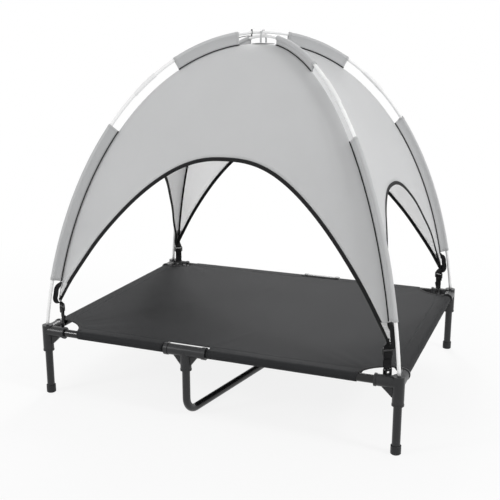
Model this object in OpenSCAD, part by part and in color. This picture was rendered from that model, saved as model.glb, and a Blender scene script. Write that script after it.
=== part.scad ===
// Raised dog bed: a tube frame on short legs, a fabric sling and a lift-off domed canopy on two crossed poles.
// Millimetres. X runs along the bed, Y across it (front is -Y), Z up. The origin is on the floor under the centre.

/* [Bed frame] */
// Distance between the leg axes along the bed
leg_span_x = 1180; // [900:10:1500]
// Distance between the leg axes across the bed
leg_span_y = 920; // [700:10:1200]
// Height of the rail axes above the floor
rail_height = 219; // [180:1:300]
// Outside diameter of the steel tubes
tube_d = 25; // [20:0.5:30]
// Wall of the steel tubes
tube_wall = 1.2; // [0.8:0.1:2.5]

/* [Plastic connectors] */
// Wall of plastic around each tube
connector_wall = 5; // [3.5:0.5:7]
// Reach of a rail socket from its leg axis
socket_reach = 70; // [58:1:84]
// Length of a corner connector below the rail axis
connector_drop = 69; // [52:1:90]
// Rise of a corner connector's rim above its rail sockets
rim_rise = 2.5; // [1:0.5:5]
// How far a collar stands out from its socket
collar_rise = 2; // [1:0.5:3]
// Length of a corner connector's collars
collar_len = 6; // [4:1:10]
// Reach of the gussets from the axis of the leg
gusset_reach = 48; // [36:1:56]
// Depth of the gussets below the rail axis
gusset_drop = 46; // [34:1:50]
// Thickness of the gussets
gusset_t = 10; // [5:1:14]
// Depth of the pole socket in the top of a corner connector
pole_socket_depth = 28; // [16:1:34]

/* [Tee connectors and centre leg] */
// Offset of each tee from the middle of its long side, to the left in front and to the right at the back
tee_offset = 79; // [0:1:150]
// Half length of a tee's sleeve
tee_half = 71; // [55:1:90]
// Length of a tee's collars
tee_collar_len = 13; // [6:1:20]
// Length of a tee's leg socket below the rail axis
tee_drop = 63; // [52:1:90]
// Reach of the tee's gussets from the axis of its leg socket
tee_gusset_reach = 40; // [30:1:50]
// Bend radius of the centre leg, at its centreline
leg_bend_r = 50; // [40:1:70]

/* [Foot caps] */
// Height of a foot cap
foot_cap_h = 27; // [20:1:45]
// Wall of a foot cap
foot_cap_wall = 3; // [2:0.5:5]
// Thickness of the sole under a leg tube
foot_sole = 5; // [3:1:10]

/* [Sling] */
// Thickness of the bed fabric
sling_t = 1.6; // [1:0.2:2.4]
// Radius of the bite that is cut from each corner of the sling
corner_cut_r = 112; // [108:1:140]
// Gap between the sling and the tees
tee_notch_gap = 5; // [3:1:15]

/* [Canopy] */
// Height of the middle of the pole crossing above the floor
canopy_height = 1178; // [900:2:1420]
// Diameter of the poles
pole_d = 11; // [8:0.5:13.5]
// How steeply the poles leave their sockets, as run over rise
pole_lean = 0.122; // [0.05:0.01:0.2]
// Length of the steep lower handle of the pole's curve
pole_rise = 519; // [400:1:640]
// Length of the level upper handle of the pole's curve
pole_flat = 400; // [300:1:500]
// Distance from the middle of a pole to the seam of the canopy below it
ridge_offset = 30; // [24:1:40]
// Thickness of the canopy fabric with its seams
canopy_t = 2; // [1.2:0.2:3]
// Height of the canopy's lower corners
corner_z = 322; // [300:1:380]
// Height of the front and back arches
long_arch_z = 810; // [600:5:900]
// Height of the side arches
short_arch_z = 712; // [550:5:800]
// How square the arches are: 2 is a parabola, and more is squarer
arch_power = 2.5; // [1.8:0.1:4]
// Width of the black binding on the arches
binding_w = 9; // [5:1:16]

/* [Pole sleeves and ferrules] */
// Height where the lower sleeves start
sleeve_low_z = 386; // [370:1:420]
// Height where the lower sleeves stop
sleeve_high_z = 872; // [700:2:900]
// Distance from the crossing to the outer end of the upper sleeves
upper_sleeve_out = 285; // [200:1:310]
// Distance from the crossing to the inner end of the upper sleeves
upper_sleeve_in = 82; // [60:1:120]
// Thickness of the sleeves
sleeve_t = 1.4; // [0.8:0.2:2.2]
// Distance from the crossing to the middle of each ferrule
ferrule_at = 378; // [350:1:400]
// Length of a ferrule
ferrule_len = 88; // [60:1:100]
// Wall of a ferrule
ferrule_wall = 1; // [0.6:0.2:2]

/* [Straps] */
// Width of the webbing
strap_w = 25; // [16:1:30]
// Thickness of the webbing
strap_t = 1.6; // [1:0.2:2.4]
// Width of the corner loops
loop_w = 20; // [12:1:24]
// Thickness of the strap hooks
hook_t = 3.6; // [2.4:0.2:5]
// Thickness of the ladder locks
lock_t = 5; // [3:0.5:7]
// Height of the ladder locks
lock_h = 22; // [16:1:30]

/* [Fits] */
// Radial gap around a tube that is pushed home
push_gap = 0.1; // [0.05:0.05:0.3]
// Radial gap around a pole tip in its socket
tip_gap = 0.08; // [0.02:0.02:0.1]
// Gap between fabric and what it lies beside
soft_gap = 0.4; // [0.3:0.1:0.8]
// Gap between fabric pieces at a sewn seam
seam_gap = 0.5; // [0.4:0.1:1]

/* [Hidden] */
$fn = 48;

FRAME = "#34363a";
STEEL = "#3d3f43";
FABRIC = "#44474b";
CANOPY = "#c4c6c8";
SLEEVE = "#b2b5b8";
WHITE = "#f2f2f0";
TRIM = "#26272a";

half_x = leg_span_x / 2;
half_y = leg_span_y / 2;
half_diag = norm([half_x, half_y]);
share_x = half_x / half_diag;
share_y = half_y / half_diag;
corner_turn = atan2(half_y, half_x);
eps = 0.01;

// Frame
tube_r = tube_d / 2;
bore_r = tube_r + push_gap;
socket_r = tube_r + connector_wall;
collar_r = socket_r + collar_rise;
connector_top = rail_height + socket_r + rim_rise;
connector_bottom = rail_height - connector_drop;
floor_t = 3;
end_gap = 0.3;
leg_bore_top = rail_height - tube_r - floor_t;
rail_stop = max(pole_d / 2 + 10, tube_r + 3.5);
tee_web_t = 2;
tee_bottom = rail_height - tee_drop;
leg_plane_half = norm([tee_offset, half_y]);
leg_plane_turn = atan2(half_y, tee_offset);
foot_r = tube_r + foot_cap_wall;
foot_chamfer = 2;

// Sling: the sleeves run round the rails, and the panel meets them a little inside the rail axes
sleeve_in_r = tube_r + soft_gap;
sleeve_out_r = sleeve_in_r + sling_t;
sling_top = rail_height + sleeve_out_r - 0.4;
sling_edge = 4;
cut_shift_x = 10;
cut_shift_y = 32;
long_sleeve_start = cut_shift_x + sqrt(pow(corner_cut_r, 2) - pow(cut_shift_y, 2));
short_sleeve_start = sqrt(pow(corner_cut_r, 2) - pow(cut_shift_x, 2)) - cut_shift_y;
tee_notch_half = tee_half + tee_notch_gap;
tee_notch_depth = collar_r + tee_notch_gap;

// Poles: one passes over the other at the crossing
pole_r = pole_d / 2;
tip_top = connector_top + 2;
tip_bottom = connector_top - pole_socket_depth;
crossing_half = pole_r + 0.6;
over = canopy_height + crossing_half;
under = canopy_height - crossing_half;
rod_sides = 12;
rod_steps = 20;

function bezier(a, b, c, d, t) =
    pow(1 - t, 3) * a + 3 * pow(1 - t, 2) * t * b + 3 * (1 - t) * t * t * c + pow(t, 3) * d;
function bezier_slope(a, b, c, d, t) =
    3 * pow(1 - t, 2) * (b - a) + 6 * (1 - t) * t * (c - b) + 3 * t * t * (d - c);

// A pole's centreline from its socket at t = 0 to the crossing at t = 1, as [distance from the centre, height]
pole_start = [half_diag, tip_top];
pole_handle = [half_diag - pole_rise * pole_lean, tip_top + pole_rise];
function pole_at(t, crown) = bezier(pole_start, pole_handle, [pole_flat, crown], [0, crown], t);
function pole_slope(t, crown) =
    let (s = bezier_slope(pole_start, pole_handle, [pole_flat, crown], [0, crown], t)) s / norm(s);
function out_of(slope) = [slope[1], -slope[0]];

// The canopy's ridge, where its panels meet, follows the poles at a fixed distance below them
function ridge_out(t) = out_of(pole_slope(t, canopy_height));
function ridge_at(t) = pole_at(t, canopy_height) - ridge_offset * ridge_out(t);
function ridge_t_at_z(z, low = 0, high = 1, steps = 24) =
    steps == 0 ? (low + high) / 2 :
    let (mid = (low + high) / 2)
    ridge_at(mid)[1] < z ? ridge_t_at_z(z, mid, high, steps - 1) : ridge_t_at_z(z, low, mid, steps - 1);
function ridge_t_at_r(r, low = 0, high = 1, steps = 24) =
    steps == 0 ? (low + high) / 2 :
    let (mid = (low + high) / 2)
    ridge_at(mid)[0] > r ? ridge_t_at_r(r, mid, high, steps - 1) : ridge_t_at_r(r, low, mid, steps - 1);
function pole_r_at_z(z, low = 0, high = 1, steps = 24) =
    steps == 0 ? pole_at((low + high) / 2, canopy_height)[0] :
    let (mid = (low + high) / 2)
    pole_at(mid, canopy_height)[1] < z ?
        pole_r_at_z(z, mid, high, steps - 1) : pole_r_at_z(z, low, mid, steps - 1);
function spread(from, to, count) = [for (i = [0 : count]) from + (to - from) * i / count];

t_corner = ridge_t_at_z(corner_z);
crown_gap = 22;
t_crown = ridge_t_at_r(crown_gap);
corner_r = ridge_at(t_corner)[0];

// Directions from the centre towards the corners, and the sides of the canopy:
// [the way along the side, the way out, share along, share out, arch height]
FL = [-share_x, -share_y];
FR = [share_x, -share_y];
BL = [-share_x, share_y];
BR = [share_x, share_y];
CORNERS = [FL, FR, BL, BR];
FRONT = [[1, 0], [0, -1], share_x, share_y, long_arch_z];
RIGHT = [[0, 1], [1, 0], share_y, share_x, short_arch_z];
BACK = [[-1, 0], [0, 1], share_x, share_y, long_arch_z];
LEFT = [[0, -1], [-1, 0], share_y, share_x, short_arch_z];

// A point given as distance and height in a corner's upright plane, moved sideways by side
function in_plane(corner, point, side = 0) =
    [corner[0] * point[0] - corner[1] * side, corner[1] * point[0] + corner[0] * side, point[1]];

// Points on a canopy panel: f runs from -1 to 1 between its two ridges, t as on the ridge
function panel_across(side, t, depth) = side[2] * ridge_at(t)[0] - seam_gap - depth;
function panel_normal(side, t) =
    let (s = (ridge_at(t + 0.001) - ridge_at(t - 0.001)), n = [s[1], -side[3] * s[0]]) n / norm(n);
function panel_at(side, f, t, depth) =
    let (across = f * panel_across(side, t, depth),
         n = panel_normal(side, t),
         out = side[3] * ridge_at(t)[0] - depth * n[0])
    [side[0][0] * across + side[1][0] * out,
     side[0][1] * across + side[1][1] * out,
     ridge_at(t)[1] - depth * n[1]];
function arch_t(side, f) =
    t_corner + (ridge_t_at_z(side[4]) - t_corner) * (1 - pow(abs(f), arch_power));
panel_rows = 10;
panel_columns = 22;
ARCH_FS = [for (i = [0 : panel_columns]) sin(90 * (2 * i / panel_columns - 1))];

// Closed solid between two grids of points of the same size
module skin(outer, inner) {
    n = len(outer);
    m = len(outer[0]);
    k = n * m;
    points = [for (row = concat(outer, inner)) for (p = row) p];
    faces = [
        for (i = [0 : n - 2]) for (j = [0 : m - 2])
            let (a = i * m + j, b = a + 1, c = a + m + 1, d = a + m)
            each [[a, b, c], [a, c, d], [k + a, k + c, k + b], [k + a, k + d, k + c]],
        for (i = [0 : n - 2])
            let (a = i * m, d = a + m, e = a + m - 1, h = e + m)
            each [[a, d, k + d], [a, k + d, k + a], [h, e, k + e], [h, k + e, k + h]],
        for (j = [0 : m - 2])
            let (a = j, b = j + 1, e = (n - 1) * m + j, h = e + 1)
            each [[b, a, k + a], [b, k + a, k + b], [e, h, k + h], [e, k + h, k + e]]
    ];
    polyhedron(points, faces, convexity = 6);
}

// Closed solid through rings of points
module sweep(rings) {
    m = len(rings[0]);
    last = (len(rings) - 1) * m;
    points = [for (ring = rings) for (p = ring) p];
    faces = [
        for (i = [0 : len(rings) - 2]) for (j = [0 : m - 1])
            let (a = i * m + j, b = i * m + (j + 1) % m)
            each [[a, a + m, b + m], [a, b + m, b]],
        [for (j = [0 : m - 1]) j],
        [for (j = [m - 1 : -1 : 0]) last + j]
    ];
    polyhedron(points, faces, convexity = 6);
}

// Tube between outer and inner rings of the same number of points
module sweep_tube(outer, inner) {
    m = len(outer[0]);
    k = len(outer) * m;
    last = (len(outer) - 1) * m;
    points = [for (ring = concat(outer, inner)) for (p = ring) p];
    faces = [
        for (i = [0 : len(outer) - 2]) for (j = [0 : m - 1])
            let (a = i * m + j, b = i * m + (j + 1) % m)
            each [[a, a + m, b + m], [a, b + m, b], [k + a, k + b + m, k + a + m], [k + a, k + b, k + b + m]],
        for (j = [0 : m - 1])
            let (a = j, b = (j + 1) % m, e = last + a, h = last + b)
            each [[a, b, k + b], [a, k + b, k + a], [h, e, k + e], [h, k + e, k + h]]
    ];
    polyhedron(points, faces, convexity = 6);
}

// Places a shape that is drawn for the front left corner at any corner
module at_corner(corner) {
    translate([sign(corner[0]) * half_x, sign(corner[1]) * half_y, 0])
        mirror([corner[0] > 0 ? 1 : 0, 0, 0])
        mirror([0, corner[1] > 0 ? 1 : 0, 0])
        children();
}

// Turns +X towards a corner
module towards(corner) {
    rotate([0, 0, atan2(corner[1], corner[0])]) children();
}

module rod_x(r, from, to) {
    translate([from, 0, 0]) rotate([0, 90, 0]) cylinder(r = r, h = to - from);
}

module rod_y(r, from, to) {
    translate([0, from, 0]) rotate([-90, 0, 0]) cylinder(r = r, h = to - from);
}

// Upright triangle under a socket that runs along +X
module gusset(reach, drop) {
    translate([0, gusset_t / 2, rail_height])
        rotate([90, 0, 0])
        linear_extrude(gusset_t)
        polygon([[0, -tube_r - 1], [reach, -tube_r - 1], [reach, -socket_r], [socket_r, -drop], [0, -drop]]);
}

// Strap parts lie in planes square to the diagonal, one behind another. The hooks stand clear of the rail
// sockets, and the straps hang just inside the canopy's corners.
hook_h = 26;
hook_w = strap_w + 6;
hook_side_gap = 1;
hook_from_leg = (socket_r + hook_side_gap + max(share_x, share_y) * hook_w / 2) / min(share_x, share_y);
hook_step = strap_t / 2 + soft_gap + hook_t / 2;
strap_r = min(corner_r - 4, half_diag - hook_from_leg - hook_t / 2 - hook_step);
hook_r = strap_r + hook_step;
lug_t = 4;
lug_w = 24;
lug_r = hook_r + hook_t / 2 + soft_gap + lug_t / 2;
lug_from_leg = half_diag - lug_r;
lug_top = connector_top + 4;
web_t = 6;
web_reach = 58;
function lug_end(side) =
    let (far = lug_from_leg + lug_t / 2, across = side * lug_w / 2)
    [share_x * far - share_y * across, share_y * far + share_x * across];

module corner_connector(corner) {
    color(FRAME) at_corner(corner) difference() {
        union() {
            translate([0, 0, connector_bottom]) cylinder(r = socket_r, h = connector_top - connector_bottom);
            translate([0, 0, connector_bottom]) cylinder(r = socket_r + 0.8, h = 5);
            translate([0, 0, rail_height]) rod_x(socket_r, 0, socket_reach);
            translate([0, 0, rail_height]) rod_y(socket_r, 0, socket_reach);
            translate([0, 0, rail_height]) rod_x(collar_r, socket_reach - collar_len, socket_reach);
            translate([0, 0, rail_height]) rod_y(collar_r, socket_reach - collar_len, socket_reach);
            gusset(gusset_reach, gusset_drop);
            mirror([1, -1, 0]) gusset(gusset_reach, gusset_drop);
            translate([0, 0, rail_height - web_t / 2])
                linear_extrude(web_t)
                polygon([[5, 5], [web_reach, 5], lug_end(-1), lug_end(1), [5, web_reach]]);
            rotate([0, 0, corner_turn])
                translate([lug_from_leg - lug_t / 2, -lug_w / 2, rail_height])
                cube([lug_t, lug_w, lug_top - rail_height]);
        }
        translate([0, 0, connector_bottom - eps])
            cylinder(r = bore_r, h = leg_bore_top - connector_bottom + eps);
        translate([0, 0, rail_height]) rod_x(bore_r, rail_stop, socket_reach + eps);
        translate([0, 0, rail_height]) rod_y(bore_r, rail_stop, socket_reach + eps);
        translate([0, 0, tip_bottom]) cylinder(r = pole_r + tip_gap, h = pole_socket_depth + eps);
        rotate([0, 0, corner_turn])
            translate([lug_from_leg - lug_t, -lug_w / 4, connector_top - 8])
            cube([lug_t * 2, lug_w / 2, 7]);
    }
}

module leg_tube(corner) {
    color(STEEL) at_corner(corner)
        translate([0, 0, foot_sole])
        difference() {
            cylinder(r = tube_r, h = leg_bore_top - end_gap - foot_sole);
            translate([0, 0, -eps]) cylinder(r = tube_r - tube_wall, h = leg_bore_top);
        }
}

module foot_cap(corner) {
    color(TRIM) at_corner(corner) rotate_extrude()
        polygon([[0, 0], [foot_r - foot_chamfer, 0], [foot_r, foot_chamfer], [foot_r, foot_cap_h - 1],
                 [foot_r - 1, foot_cap_h], [bore_r, foot_cap_h], [bore_r, foot_sole], [0, foot_sole]]);
}

module rail_x(from, to, y) {
    color(STEEL) translate([0, y, rail_height]) difference() {
        rod_x(tube_r, from, to);
        rod_x(tube_r - tube_wall, from - 1, to + 1);
    }
}

module rail_y(x) {
    color(STEEL) translate([x, 0, rail_height]) difference() {
        rod_y(tube_r, -half_y + rail_stop + end_gap, half_y - rail_stop - end_gap);
        rod_y(tube_r - tube_wall, -half_y, half_y);
    }
}

rail_end_x = half_x - rail_stop - end_gap;
tee_stop = tee_web_t / 2 + end_gap;

// Tee on the front rail: the back one is the same piece turned half way round
module tee_connector(turn) {
    color(FRAME) rotate([0, 0, turn]) translate([-tee_offset, -half_y, 0]) difference() {
        union() {
            translate([0, 0, rail_height]) rod_x(socket_r, -tee_half, tee_half);
            translate([0, 0, rail_height]) rod_x(collar_r, -tee_half, tee_collar_len - tee_half);
            translate([0, 0, rail_height]) rod_x(collar_r, tee_half - tee_collar_len, tee_half);
            translate([0, 0, tee_bottom]) cylinder(r = socket_r, h = tee_drop);
            translate([0, 0, tee_bottom]) cylinder(r = socket_r + 0.8, h = 5);
            gusset(tee_gusset_reach, gusset_drop);
            mirror([1, 0, 0]) gusset(tee_gusset_reach, gusset_drop);
        }
        translate([0, 0, rail_height]) rod_x(bore_r, tee_web_t / 2, tee_half + eps);
        translate([0, 0, rail_height]) rod_x(bore_r, -tee_half - eps, -tee_web_t / 2);
        translate([0, 0, tee_bottom - eps]) cylinder(r = bore_r, h = leg_bore_top - tee_bottom + eps);
    }
}

module bent_leg_half(r) {
    translate([leg_plane_half, 0, tube_r + leg_bend_r])
        cylinder(r = r, h = leg_bore_top - end_gap - tube_r - leg_bend_r);
    translate([leg_plane_half - leg_bend_r, 0, tube_r + leg_bend_r])
        rotate([90, 90, 0])
        rotate_extrude(angle = 90)
        translate([leg_bend_r, 0])
        circle(r = r);
    translate([0, 0, tube_r]) rod_x(r, -eps, leg_plane_half - leg_bend_r + eps);
}

module centre_leg() {
    color(STEEL) rotate([0, 0, leg_plane_turn]) difference() {
        union() {
            bent_leg_half(tube_r);
            mirror([1, 0, 0]) bent_leg_half(tube_r);
        }
        for (side = [-1, 1])
            translate([side * leg_plane_half, 0, tube_r + leg_bend_r])
                cylinder(r = tube_r - tube_wall, h = leg_bore_top);
    }
}

module sling_sleeve(from, to) {
    difference() {
        rod_x(sleeve_out_r, from, to);
        rod_x(sleeve_in_r, from - 1, to + 1);
    }
}

module sling_panel() {
    translate([0, 0, sling_top - sling_t]) linear_extrude(sling_t) difference() {
        square([leg_span_x - 2 * sling_edge, leg_span_y - 2 * sling_edge], center = true);
        for (sx = [-1, 1]) for (sy = [-1, 1])
            translate([sx * (half_x - cut_shift_x), sy * (half_y + cut_shift_y)])
                circle(r = corner_cut_r, $fn = 96);
        for (s = [-1, 1])
            translate([s * tee_offset - tee_notch_half, s > 0 ? half_y - tee_notch_depth : -half_y - 1])
                square([2 * tee_notch_half, tee_notch_depth + 1]);
    }
}

module sling() {
    long_end = half_x - long_sleeve_start;
    short_end = half_y - short_sleeve_start;
    color(FABRIC) union() {
        sling_panel();
        for (turn = [0, 180]) rotate([0, 0, turn]) translate([0, -half_y, rail_height]) {
            sling_sleeve(-long_end, -tee_offset - tee_notch_half);
            sling_sleeve(-tee_offset + tee_notch_half, long_end);
        }
        for (turn = [90, -90]) rotate([0, 0, turn]) translate([0, -half_x, rail_height])
            sling_sleeve(-short_end, short_end);
    }
}

// Rings of a round rod: the first ring at the tip is level, so that it sits flat on the tip
function ring_at(corner, point, out, r, sides = rod_sides) =
    [for (i = [0 : sides - 1])
        let (a = 360 * i / sides)
        in_plane(corner, point + r * cos(a) * out, r * sin(a))];
function rod_ring(corner, t, crown, r) =
    ring_at(corner, pole_at(t, crown), t == 0 ? [1, 0] : out_of(pole_slope(t, crown)), r);

ferrule_t = ridge_t_at_r(ferrule_at);
ferrule_dt = ferrule_len / 2 / norm(bezier_slope(pole_start, pole_handle, [pole_flat, canopy_height],
                                                 [0, canopy_height], ferrule_t));
function crown_of(corner) = corner[0] * corner[1] > 0 ? over : under;

module pole_lower(corner) {
    color(WHITE) sweep([for (t = spread(0, ferrule_t - 0.0005, rod_steps))
        rod_ring(corner, t, crown_of(corner), pole_r)]);
}

// The same curve on both sides of the crossing, from the left end to the right end
module pole_centre(corner) {
    crown = crown_of(corner);
    ts = spread(ferrule_t + 0.0005, 1, rod_steps / 2);
    last = len(ts) - 1;
    rings = concat(
        [for (t = ts) rod_ring(-corner, t, crown, pole_r)],
        [for (i = [last - 1 : -1 : 0])
            let (out = out_of(pole_slope(ts[i], crown)), p = pole_at(ts[i], crown))
            ring_at(-corner, [-p[0], p[1]], [-out[0], out[1]], pole_r)]);
    color(WHITE) sweep(rings);
}

ferrule_in_r = (pole_r + 0.3) / cos(180 / rod_sides);
module pole_ferrules() {
    ts = spread(ferrule_t - ferrule_dt, ferrule_t + ferrule_dt, 6);
    color("#dcdedf") for (corner = CORNERS)
        sweep_tube([for (t = ts) rod_ring(corner, t, crown_of(corner), ferrule_in_r + ferrule_wall)],
                   [for (t = ts) rod_ring(corner, t, crown_of(corner), ferrule_in_r)]);
}

module pole_tips() {
    color("#c9cbcd") for (corner = CORNERS)
        translate([corner[0] * half_diag, corner[1] * half_diag, tip_bottom])
            cylinder(r = pole_r, h = tip_top - tip_bottom);
}

module canopy_panel(side) {
    function rows(depth) = [for (f = ARCH_FS)
        [for (t = spread(arch_t(side, f), t_crown, panel_rows)) panel_at(side, f, t, depth)]];
    color(CANOPY) skin(rows(0), rows(canopy_t));
}

// Section of a sleeve: round the pole, then a flat tail in to the ridge
sleeve_hole_r = (pole_r + soft_gap) / cos(15);
sleeve_seat = 0.5;
function sleeve_ring(corner, t, r, seat, tail_half) =
    let (crown = crown_of(corner), out = out_of(pole_slope(t, crown)), centre = pole_at(t, crown))
    concat(
        [for (i = [-4 : 4]) in_plane(corner, centre + r * cos(30 * i) * out, r * sin(30 * i))],
        [for (s = [1, -1]) in_plane(corner, ridge_at(t) + seat * ridge_out(t), s * tail_half)]);

module pole_sleeve(corner, from, to, steps) {
    ts = spread(from, to, steps);
    color(SLEEVE) sweep_tube(
        [for (t = ts) sleeve_ring(corner, t, sleeve_hole_r + sleeve_t, sleeve_seat, 2.2)],
        [for (t = ts) sleeve_ring(corner, t, sleeve_hole_r, sleeve_seat + 3, 0.8)]);
}

module lower_sleeve(corner) {
    pole_sleeve(corner, ridge_t_at_z(sleeve_low_z), ridge_t_at_z(sleeve_high_z), 12);
}

module upper_sleeve(corner) {
    pole_sleeve(corner, ridge_t_at_r(upper_sleeve_out), ridge_t_at_r(upper_sleeve_in), 6);
}

// Binding: a flat tape that carries on from the cut edge of a panel into the arch
module arch_binding(side) {
    function edge(f, depth) = panel_at(side, f, arch_t(side, f), depth);
    function inward(f) =
        let (run = edge(min(f + 0.01, 0.999), 0) - edge(max(f - 0.01, -0.999), 0),
             n = panel_normal(side, arch_t(side, f)),
             out = [side[1][0] * n[0], side[1][1] * n[0], n[1]],
             w = cross(out, run))
        -w / norm(w);
    function row(depth) =
        [for (i = [1 : panel_columns - 1])
            let (f = ARCH_FS[i], start = edge(f, depth) + inward(f) * seam_gap)
            [start + inward(f) * binding_w, start]];
    color(TRIM) skin(row(0), row(canopy_t));
}

// Seam tape: flat in the corner between two panels, as deep in as its half width needs
tape_half = 4;
tape_t = 1.2;
tape_in = (max(share_x, share_y) * tape_half + canopy_t + soft_gap) / min(share_x, share_y) + 1.2;
module seam_tapes() {
    ts = spread(ridge_t_at_z(corner_z + 40), ridge_t_at_r(60), 14);
    function rows(corner, depth) = [for (s = [-tape_half, tape_half])
        [for (t = ts) in_plane(corner, ridge_at(t) - depth * ridge_out(t), s)]];
    color(TRIM) for (corner = CORNERS) skin(rows(corner, tape_in), rows(corner, tape_in + tape_t));
}

// Corner loop: from the ladder lock out to the pole and back in to the end of the sleeve
loop_t = 1.4;
function loop_path(shift) =
    let (low = corner_z + 16, high = corner_z + 42,
         low_r = pole_r_at_z(low) - pole_r - soft_gap - loop_t,
         high_r = pole_r_at_z(high) - pole_r - soft_gap - loop_t)
    [[strap_r + 1 + shift, corner_z - 12], [corner_r + 3 + shift, corner_z - 1], [low_r + shift, low],
     [high_r + shift, high], [corner_r + 2 + shift, sleeve_low_z - 8]];
module corner_loops() {
    function rows(corner, shift) =
        [for (s = [-loop_w / 2, loop_w / 2]) [for (p = loop_path(shift)) in_plane(corner, p, s)]];
    color(TRIM) for (corner = CORNERS) skin(rows(corner, loop_t), rows(corner, 0));
}

lock_r = strap_r + strap_t / 2 + soft_gap + lock_t / 2;
lock_bottom = corner_z - 14 - lock_h;
lock_w = strap_w + 8;
module ladder_locks() {
    color(TRIM) for (corner = CORNERS) towards(corner)
        translate([lock_r - lock_t / 2, -lock_w / 2, lock_bottom])
        difference() {
            cube([lock_t, lock_w, lock_h]);
            for (z = [4, lock_h - 9])
                translate([-1, 4, z]) cube([lock_t + 2, strap_w, 5]);
        }
}

hook_bottom = rail_height + web_t / 2 + 1;
module strap_hooks() {
    color(TRIM) for (corner = CORNERS) towards(corner)
        translate([hook_r - hook_t / 2, -hook_w / 2, hook_bottom])
        difference() {
            cube([hook_t, hook_w, hook_h]);
            translate([-1, 3, hook_h - 8]) cube([hook_t + 2, strap_w, 5]);
            translate([-1, 6, 5]) cube([hook_t + 2, hook_w, 8]);
        }
}

module strap(corner) {
    strap_low = hook_bottom + hook_h - 10;
    color(TRIM) towards(corner)
        translate([strap_r - strap_t / 2, -strap_w / 2, strap_low])
        cube([strap_t, strap_w, lock_bottom + lock_h - 2 - strap_low]);
}

// Crown: a patch over the tips of the panels, and a band from it over the crossed poles
patch_z = canopy_height - ridge_offset + seam_gap;
patch_t = 1.4;
tie_w = 14;
tie_t = 1.4;
tie_half = 24;
tie_top = over + pole_r + soft_gap;
module crown_patch() {
    color(CANOPY) translate([-32, -30, patch_z]) cube([64, 60, patch_t]);
}

module crown_tie() {
    color(TRIM) translate([-tie_w / 2, 0, patch_z + patch_t]) difference() {
        translate([0, -tie_half - tie_t, 0])
            cube([tie_w, 2 * (tie_half + tie_t), tie_top + tie_t - patch_z - patch_t]);
        translate([-1, -tie_half, -1]) cube([tie_w + 2, 2 * tie_half, tie_top - patch_z - patch_t + 1]);
    }
}

corner_connector(FL);  // corner_connector_fl
corner_connector(FR);  // corner_connector_fr
corner_connector(BL);  // corner_connector_bl
corner_connector(BR);  // corner_connector_br
leg_tube(FL);  // leg_tube_fl
leg_tube(FR);  // leg_tube_fr
leg_tube(BL);  // leg_tube_bl
leg_tube(BR);  // leg_tube_br
foot_cap(FL);  // foot_cap_fl
foot_cap(FR);  // foot_cap_fr
foot_cap(BL);  // foot_cap_bl
foot_cap(BR);  // foot_cap_br
rail_x(-rail_end_x, -tee_offset - tee_stop, -half_y);  // front_rail_left
rail_x(-tee_offset + tee_stop, rail_end_x, -half_y);  // front_rail_right
rail_x(-rail_end_x, tee_offset - tee_stop, half_y);  // back_rail_left
rail_x(tee_offset + tee_stop, rail_end_x, half_y);  // back_rail_right
rail_y(-half_x);  // side_rail_left
rail_y(half_x);  // side_rail_right
tee_connector(0);  // tee_connector_front
tee_connector(180);  // tee_connector_back
centre_leg();
sling();
pole_lower(FL);  // pole_lower_fl
pole_lower(FR);  // pole_lower_fr
pole_lower(BL);  // pole_lower_bl
pole_lower(BR);  // pole_lower_br
pole_centre(BR);  // pole_centre_over
pole_centre(FR);  // pole_centre_under
pole_ferrules();
pole_tips();
canopy_panel(FRONT);  // canopy_panel_front
canopy_panel(RIGHT);  // canopy_panel_right
canopy_panel(BACK);  // canopy_panel_back
canopy_panel(LEFT);  // canopy_panel_left
lower_sleeve(FL);  // lower_sleeve_fl
lower_sleeve(FR);  // lower_sleeve_fr
lower_sleeve(BL);  // lower_sleeve_bl
lower_sleeve(BR);  // lower_sleeve_br
upper_sleeve(FL);  // upper_sleeve_fl
upper_sleeve(FR);  // upper_sleeve_fr
upper_sleeve(BL);  // upper_sleeve_bl
upper_sleeve(BR);  // upper_sleeve_br
arch_binding(FRONT);  // arch_binding_front
arch_binding(RIGHT);  // arch_binding_right
arch_binding(BACK);  // arch_binding_back
arch_binding(LEFT);  // arch_binding_left
seam_tapes();
corner_loops();
ladder_locks();
strap(FL);  // strap_fl
strap(FR);  // strap_fr
strap(BL);  // strap_bl
strap(BR);  // strap_br
strap_hooks();
crown_tie();
crown_patch();
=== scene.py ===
"""Raised dog bed with a domed canopy: materials, cloth, stitching and light round the frame. Metres."""
import math

import bpy
import numpy as np
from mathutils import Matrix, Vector, noise
from mathutils.geometry import delaunay_2d_cdt


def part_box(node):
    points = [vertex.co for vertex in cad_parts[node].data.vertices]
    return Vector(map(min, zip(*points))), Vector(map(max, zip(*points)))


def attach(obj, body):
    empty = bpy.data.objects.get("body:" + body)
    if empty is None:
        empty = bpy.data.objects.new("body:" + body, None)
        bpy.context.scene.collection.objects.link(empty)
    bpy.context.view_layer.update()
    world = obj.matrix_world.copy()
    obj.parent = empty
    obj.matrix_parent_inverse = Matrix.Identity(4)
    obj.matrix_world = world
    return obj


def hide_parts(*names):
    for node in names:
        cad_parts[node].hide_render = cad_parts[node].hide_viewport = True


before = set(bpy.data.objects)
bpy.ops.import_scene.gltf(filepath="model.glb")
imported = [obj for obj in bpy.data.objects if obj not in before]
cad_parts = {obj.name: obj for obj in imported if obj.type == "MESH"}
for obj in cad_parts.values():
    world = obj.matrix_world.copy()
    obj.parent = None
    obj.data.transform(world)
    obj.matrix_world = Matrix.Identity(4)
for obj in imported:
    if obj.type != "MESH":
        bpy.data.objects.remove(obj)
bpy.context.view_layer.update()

# ---------------------------------------------------------------- camera, light and floor
cam = bpy.data.objects.new("camera", bpy.data.cameras.new("camera"))
cam.data.lens = 59.93
cam.data.sensor_width = 36
cam.location = (1.0163, -2.6472, 1.1555)
cam.rotation_euler = (math.radians(90 - 14.1), 0, math.radians(21.9))
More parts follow.
